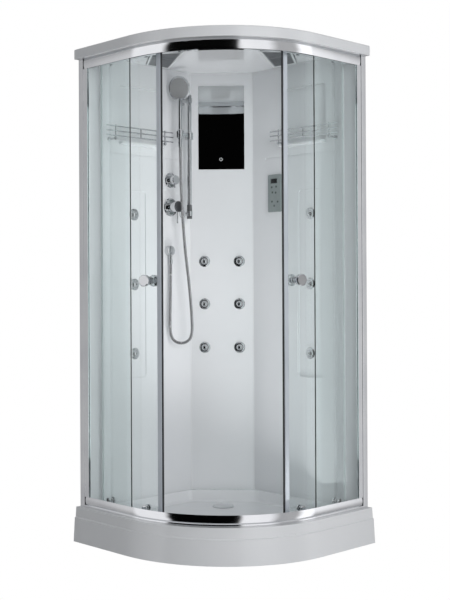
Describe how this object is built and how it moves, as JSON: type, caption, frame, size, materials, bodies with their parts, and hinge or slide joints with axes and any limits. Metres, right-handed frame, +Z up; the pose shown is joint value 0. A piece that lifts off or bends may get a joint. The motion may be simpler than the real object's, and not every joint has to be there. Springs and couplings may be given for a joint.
{
  "type": "steam_shower_cabin",
  "caption": "Quadrant steam shower cabin with white acrylic tray, walls and roof, curved sliding glass doors, chrome rails, body jets, mirror and handset on a riser rail.",
  "frame": {"origin": "On the floor, under the middle of the bounding box.", "axes": "+Z is up. +Y points to the back corner, so the curved doors face -Y. +X is to the right for a person facing the doors."},
  "size_m": [1.294, 1.0598, 2.13],
  "materials": {
    "white_acrylic": "gloss",
    "clear_glass": "clear",
    "mirror_glass": "mirror",
    "chrome": "polished",
    "polished_aluminium": "polished",
    "plated_plastic": "chrome plated",
    "steel_hose": "wound metal cover",
    "galvanised_steel": "galvanised",
    "grey_plastic": "moulded",
    "dark_plastic": "satin",
    "black_rubber": "matt",
    "clear_seal": "translucent",
    "nylon": "smooth"
  },
  "bodies": {
    "cabin": {"tray": "white_acrylic", "tray_frame": "galvanised_steel", "levelling_feet": "galvanised_steel", "waste_trap": "grey_plastic", "left_wall": "white_acrylic", "right_wall": "white_acrylic", "centre_panel": "white_acrylic", "mirror": "mirror_glass", "roof": "white_acrylic", "ceiling_grilles": "dark_plastic", "fan_housing": "dark_plastic", "speaker_driver": "dark_plastic", "top_rail": "polished_aluminium", "bottom_rail": "polished_aluminium", "jamb_profiles": "polished_aluminium", "fixed_glass_panels": "clear_glass", "jet_rings": "plated_plastic", "riser_rail": "chrome", "valve_escutcheons": "chrome", "wall_elbow": "chrome", "control_panel": "dark_plastic", "gallery_rails": "chrome", "steam_generator": "galvanised_steel", "water_pipes": "grey_plastic", "hose": "steel_hose"},
    "left_door": {"left_door_glass": "clear_glass", "left_door_stile": "polished_aluminium", "left_magnet_seal": "black_rubber", "left_rear_seal": "clear_seal", "left_door_knob": "plated_plastic", "left_door_carriers": "chrome"},
    "right_door": {"right_door_glass": "clear_glass", "right_door_stile": "polished_aluminium", "right_magnet_seal": "black_rubber", "right_rear_seal": "clear_seal", "right_door_knob": "plated_plastic", "right_door_carriers": "chrome"},
    "left_wheel_a": {"left_front_wheel": "nylon"},
    "left_wheel_b": {"left_rear_wheel": "nylon"},
    "right_wheel_a": {"right_front_wheel": "nylon"},
    "right_wheel_b": {"right_rear_wheel": "nylon"},
    "diverter": {"diverter_knob": "plated_plastic"},
    "mixer": {"mixer_knob": "plated_plastic"},
    "slider_body": {"slider": "plated_plastic"},
    "cradle_body": {"cradle": "plated_plastic"},
    "handset_body": {"handset": "plated_plastic"},
    "drain": {"drain_cover": "chrome"},
    "fan": {"fan_rotor": "dark_plastic"},
    "jet_left_top": {"left_top_nozzle": "plated_plastic"},
    "jet_left_middle": {"left_middle_nozzle": "plated_plastic"},
    "jet_left_bottom": {"left_bottom_nozzle": "plated_plastic"},
    "jet_right_top": {"right_top_nozzle": "plated_plastic"},
    "jet_right_middle": {"right_middle_nozzle": "plated_plastic"},
    "jet_right_bottom": {"right_bottom_nozzle": "plated_plastic"},
    "jet_back_left_top": {"back_left_top_nozzle": "plated_plastic"},
    "jet_back_left_middle": {"back_left_middle_nozzle": "plated_plastic"},
    "jet_back_left_bottom": {"back_left_bottom_nozzle": "plated_plastic"},
    "jet_back_right_top": {"back_right_top_nozzle": "plated_plastic"},
    "jet_back_right_middle": {"back_right_middle_nozzle": "plated_plastic"},
    "jet_back_right_bottom": {"back_right_bottom_nozzle": "plated_plastic"}
  },
  "joints": [
    {"name": "left_door_slide", "type": "hinge", "parent": "cabin", "child": "left_door", "pos_m": [0.08211, 0.21191, 1.1], "axis": [0, 0, 1], "range_deg": [0, 22.08]},
    {"name": "right_door_slide", "type": "hinge", "parent": "cabin", "child": "right_door", "pos_m": [-0.08211, 0.21191, 1.1], "axis": [0, 0, -1], "range_deg": [0, 22.08]},
    {"name": "left_front_roll", "type": "hinge", "parent": "left_door", "child": "left_wheel_a", "pos_m": [-0.32338, -0.34996, 2.0575], "axis": [0.5226, 0.8526, 0], "continuous": true},
    {"name": "left_rear_roll", "type": "hinge", "parent": "left_door", "child": "left_wheel_b", "pos_m": [-0.48552, -0.19013, 2.0575], "axis": [0.845, 0.5348, 0], "continuous": true},
    {"name": "right_front_roll", "type": "hinge", "parent": "right_door", "child": "right_wheel_a", "pos_m": [0.32338, -0.34996, 2.0575], "axis": [0.5226, -0.8526, 0], "continuous": true},
    {"name": "right_rear_roll", "type": "hinge", "parent": "right_door", "child": "right_wheel_b", "pos_m": [0.48552, -0.19013, 2.0575], "axis": [0.845, -0.5348, 0], "continuous": true},
    {"name": "diverter_turn", "type": "hinge", "parent": "cabin", "child": "diverter", "pos_m": [-0.2383, 0.24927, 1.594], "axis": [0.7071, -0.7071, 0], "range_deg": [-90, 90]},
    {"name": "mixer_turn", "type": "hinge", "parent": "cabin", "child": "mixer", "pos_m": [-0.2383, 0.24927, 1.469], "axis": [0.7071, -0.7071, 0], "range_deg": [-40, 40]},
    {"name": "slider_slide", "type": "slide", "parent": "cabin", "child": "slider_body", "axis": [0, 0, 1], "range_m": [-0.2, 0.03], "deforming": ["hose"]},
    {"name": "cradle_tilt", "type": "hinge", "parent": "slider_body", "child": "cradle_body", "pos_m": [-0.16991, 0.2323, 1.8], "axis": [0.866, -0.5, 0], "range_deg": [-10, 30], "deforming": ["hose"]},
    {"name": "handset_lift", "type": "slide", "parent": "cradle_body", "child": "handset_body", "axis": [0, 0, 1], "range_m": [0, 0.03], "deforming": ["hose"]},
    {"name": "drain_lift", "type": "slide", "parent": "cabin", "child": "drain", "axis": [0, 0, 1], "range_m": [0, 0.03]},
    {"name": "fan_spin", "type": "hinge", "parent": "cabin", "child": "fan", "pos_m": [-0.25, 0.01499, 2.115], "axis": [0, 0, 1], "continuous": true},
    {"name": "jet_left_top_swivel", "type": "hinge", "parent": "cabin", "child": "jet_left_top", "pos_m": [-0.39952, 0.1036, 1.426], "axis": [0, 0, 1], "range_deg": [-15, 15]},
    {"name": "jet_left_middle_swivel", "type": "hinge", "parent": "cabin", "child": "jet_left_middle", "pos_m": [-0.39952, 0.1036, 1.111], "axis": [0, 0, 1], "range_deg": [-15, 15]},
    {"name": "jet_left_bottom_swivel", "type": "hinge", "parent": "cabin", "child": "jet_left_bottom", "pos_m": [-0.39952, 0.1036, 0.799], "axis": [0, 0, 1], "range_deg": [-15, 15]},
    {"name": "jet_right_top_swivel", "type": "hinge", "parent": "cabin", "child": "jet_right_top", "pos_m": [0.39952, 0.1036, 1.426], "axis": [0, 0, 1], "range_deg": [-15, 15]},
    {"name": "jet_right_middle_swivel", "type": "hinge", "parent": "cabin", "child": "jet_right_middle", "pos_m": [0.39952, 0.1036, 1.111], "axis": [0, 0, 1], "range_deg": [-15, 15]},
    {"name": "jet_right_bottom_swivel", "type": "hinge", "parent": "cabin", "child": "jet_right_bottom", "pos_m": [0.39952, 0.1036, 0.799], "axis": [0, 0, 1], "range_deg": [-15, 15]},
    {"name": "jet_back_left_top_swivel", "type": "hinge", "parent": "cabin", "child": "jet_back_left_top", "pos_m": [-0.082, 0.34599, 1.219], "axis": [0, 0, 1], "range_deg": [-15, 15]},
    {"name": "jet_back_left_middle_swivel", "type": "hinge", "parent": "cabin", "child": "jet_back_left_middle", "pos_m": [-0.082, 0.34599, 1.018], "axis": [0, 0, 1], "range_deg": [-15, 15]},
    {"name": "jet_back_left_bottom_swivel", "type": "hinge", "parent": "cabin", "child": "jet_back_left_bottom", "pos_m": [-0.082, 0.34599, 0.813], "axis": [0, 0, 1], "range_deg": [-15, 15]},
    {"name": "jet_back_right_top_swivel", "type": "hinge", "parent": "cabin", "child": "jet_back_right_top", "pos_m": [0.082, 0.34599, 1.219], "axis": [0, 0, 1], "range_deg": [-15, 15]},
    {"name": "jet_back_right_middle_swivel", "type": "hinge", "parent": "cabin", "child": "jet_back_right_middle", "pos_m": [0.082, 0.34599, 1.018], "axis": [0, 0, 1], "range_deg": [-15, 15]},
    {"name": "jet_back_right_bottom_swivel", "type": "hinge", "parent": "cabin", "child": "jet_back_right_bottom", "pos_m": [0.082, 0.34599, 0.813], "axis": [0, 0, 1], "range_deg": [-15, 15]}
  ],
  "couplings": [
    {"joint": "left_front_roll", "follows": "left_door_slide", "ratio": 54.89},
    {"joint": "left_rear_roll", "follows": "left_door_slide", "ratio": 54.49},
    {"joint": "right_front_roll", "follows": "right_door_slide", "ratio": 54.89},
    {"joint": "right_rear_roll", "follows": "right_door_slide", "ratio": 54.49}
  ]
}
